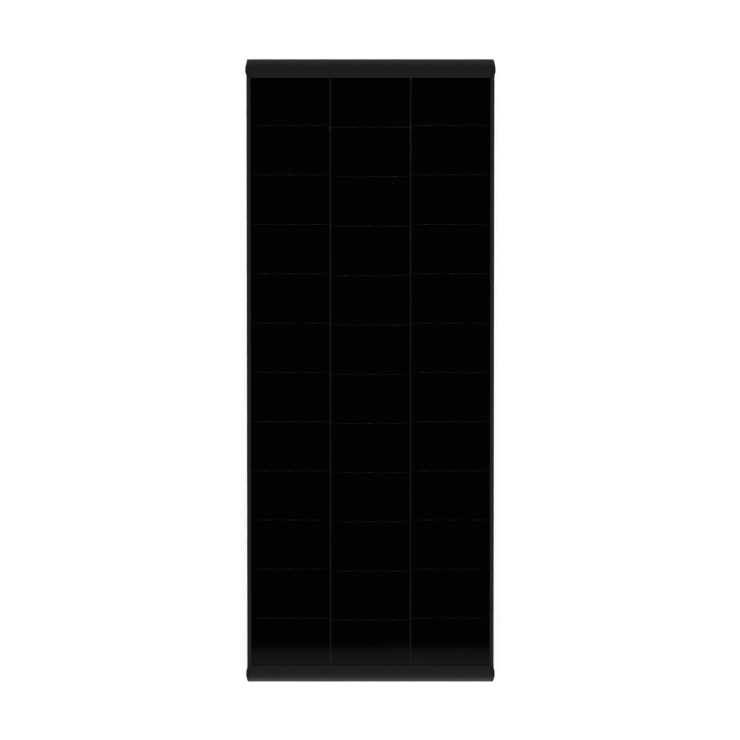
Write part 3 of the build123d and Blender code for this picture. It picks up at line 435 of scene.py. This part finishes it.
# ------------------------------------------------------------------ junction box
# A black moulded box is glued to the backsheet with silicone.  Its lid presses on a
# rubber seal and pulls straight off for wiring.
box_plastic = moulded_plastic("box_plastic", (0.010, 0.010, 0.011), (0.018, 0.018, 0.019), grain=1100.0)
box_plastic.coat("junction_box_base", "junction_box_lid")

silicone = Finish("cured_silicone", (0.02, 0.02, 0.02), 0.45, 0.0)
smear = silicone.noise(130.0, detail=3.0)
silicone.feed(Base_Color=silicone.colours(smear, (0.014, 0.014, 0.014), (0.03, 0.03, 0.03)))
silicone.feed(Roughness=0.35 + smear * 0.2)
silicone.bump(smear, 0.0002)
silicone.coat("junction_box_adhesive")

# ------------------------------------------------------------------ wiring in the box
# Bent clips of tinned copper take the ribbon tails, and two bypass diodes lie between
# them on wire leads.
tinned = Finish("tinned_copper", (0.62, 0.6, 0.56), 0.35, 1.0)
solder = tinned.noise(260.0, detail=4.0)
tinned.feed(Base_Color=tinned.colours(solder, (0.5, 0.48, 0.44), (0.7, 0.68, 0.64)))
tinned.feed(Roughness=0.28 + solder * 0.2)
tinned.bump(solder, 0.00003)
tinned.coat("terminal_negative", "terminal_tap", "terminal_positive", "diode_leads")

BAND_INSET = 0.0018  # from the outer end of a diode to the middle of its band
BAND_HALF = 0.0007

epoxy = Finish("diode_epoxy", roughness=0.35, Specular_IOR_Level=0.5)
(diodes_x0, _, _), (diodes_x1, _, _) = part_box("bypass_diodes")
sideways = Number(epoxy, epoxy.node("ShaderNodeSeparateXYZ", None, {0: epoxy.where()}).outputs[0])
outwards = sideways.math("ABSOLUTE", sideways)
band_at = (diodes_x1 - diodes_x0) / 2 - BAND_INSET
band = (outwards > band_at - BAND_HALF) * (outwards < band_at + BAND_HALF)
body_grain = epoxy.noise(800.0, detail=2.0)
epoxy.feed(Base_Color=epoxy.colours(band, (0.012, 0.012, 0.013), (0.55, 0.55, 0.54)))
epoxy.feed(Roughness=0.3 + body_grain * 0.15)
epoxy.bump(body_grain, 0.00001)
epoxy.coat("bypass_diodes")

# ------------------------------------------------------------------ cable glands
# Two black nylon glands lead the cables into the box.  The cap nut pushes a slip ring
# on to the rubber seal as it is screwed down.
NYLON_DARK = (0.009, 0.009, 0.0095)
NYLON_LIGHT = (0.015, 0.015, 0.016)
GLAND_PARTS = ("body", "locknut", "slip_ring", "cap_nut")

nylon = moulded_plastic("gland_nylon", NYLON_DARK, NYLON_LIGHT, grain=2000.0, roughness=0.42)
nylon.coat(*[f"gland_{part}_{side}" for part in GLAND_PARTS for side in ("left", "right")])

# ------------------------------------------------------------------ studio
# A pale floor under even, soft light from four large panels high above, with a dark
# ceiling straight overhead and one pale board beyond the front end.
FLOOR_HALF = 30.0  # metres from the middle to an edge
FLOOR_DROP = 0.0002  # the floor lies this far below the feet
FLOOR_GLOW = 0.25

floor_corners = [(x * FLOOR_HALF, y * FLOOR_HALF, 0) for x, y in ((-1, -1), (1, -1), (1, 1), (-1, 1))]
floor_mesh = bpy.data.meshes.new("floor")
floor_mesh.from_pydata(floor_corners, [], [(0, 1, 2, 3)])
floor = bpy.data.objects.new("floor", floor_mesh)
floor.location.z = -FLOOR_DROP
bpy.context.scene.collection.objects.link(floor)
pale = Finish(
    "pale_floor",
    (0.9, 0.9, 0.9),
    0.9,
    Specular_IOR_Level=0.1,
    Emission_Color=(1.0, 1.0, 1.0, 1.0),
    Emission_Strength=FLOOR_GLOW,
)
pale.feed(Base_Color=pale.colours(pale.noise(3.0), (0.89, 0.89, 0.89), (0.91, 0.91, 0.91)))
pale.coat(floor)

LIGHT_SIZE = 1.7
LIGHT_HEIGHT = 3.0
REAR_WATTS = 58.0
FRONT_WATTS = 44.0

for name, x, y, watts in (
    ("light_rear_left", -1.5, 1.6, REAR_WATTS),
    ("light_rear_right", 1.5, 1.6, REAR_WATTS),
    ("light_front_left", -1.7, -1.5, FRONT_WATTS),
    ("light_front_right", 1.7, -1.5, FRONT_WATTS),
):
    lamp_data = bpy.data.lights.new(name, "AREA")
    lamp_data.shape = "SQUARE"
    lamp_data.size = LIGHT_SIZE
    lamp_data.energy = watts
    lamp = bpy.data.objects.new(name, lamp_data)
    lamp.location = (x, y, LIGHT_HEIGHT)
    lamp.rotation_euler = (-lamp.location).to_track_quat("-Z", "Y").to_euler()
    lamp.visible_camera = False
    lamp.visible_glossy = False
    bpy.context.scene.collection.objects.link(lamp)


class Room(Finish):
    """The surroundings, as nodes on the world."""

    def __init__(self):
        self.material = bpy.data.worlds.new("room")
        self.material.use_nodes = True
        self.tree = self.material.node_tree
        self.tree.nodes.clear()
        self.place = self.node("ShaderNodeTexCoord").outputs["Generated"]


BOARD_START = 0.1223  # tangent of its angle from straight up
BOARD_EDGE = 0.043  # brightness at its near edge
BOARD_CLIMB = 12.3  # and how fast it grows from there
BOARD_MOST = 0.4
WALL_GLOW = 1.2
LEVEL = 0.02  # directions below this rise count as level

room = Room()
bpy.context.scene.world = room.material
ray = room.node("ShaderNodeSeparateXYZ", None, {0: room.where()})
rise = Number(room, ray.outputs[2])
forward = Number(room, ray.outputs[1])
up = rise.math("MAXIMUM", rise, LEVEL)
lean = (0.0 - forward) / up
past = lean - BOARD_START
board = (past > 0.0) * (BOARD_EDGE + past.math("MINIMUM", past * BOARD_CLIMB, BOARD_MOST))
walls = (1.0 - up) ** 2.0 * WALL_GLOW
seen = Number(room, room.node("ShaderNodeLightPath").outputs["Is Camera Ray"])
glow = seen + (1.0 - seen) * (walls + board)
sky = room.node("ShaderNodeBackground", None, {"Color": (1.0, 1.0, 1.0, 1.0), "Strength": glow})
room.node("ShaderNodeOutputWorld", None, {"Surface": sky.outputs[0]})
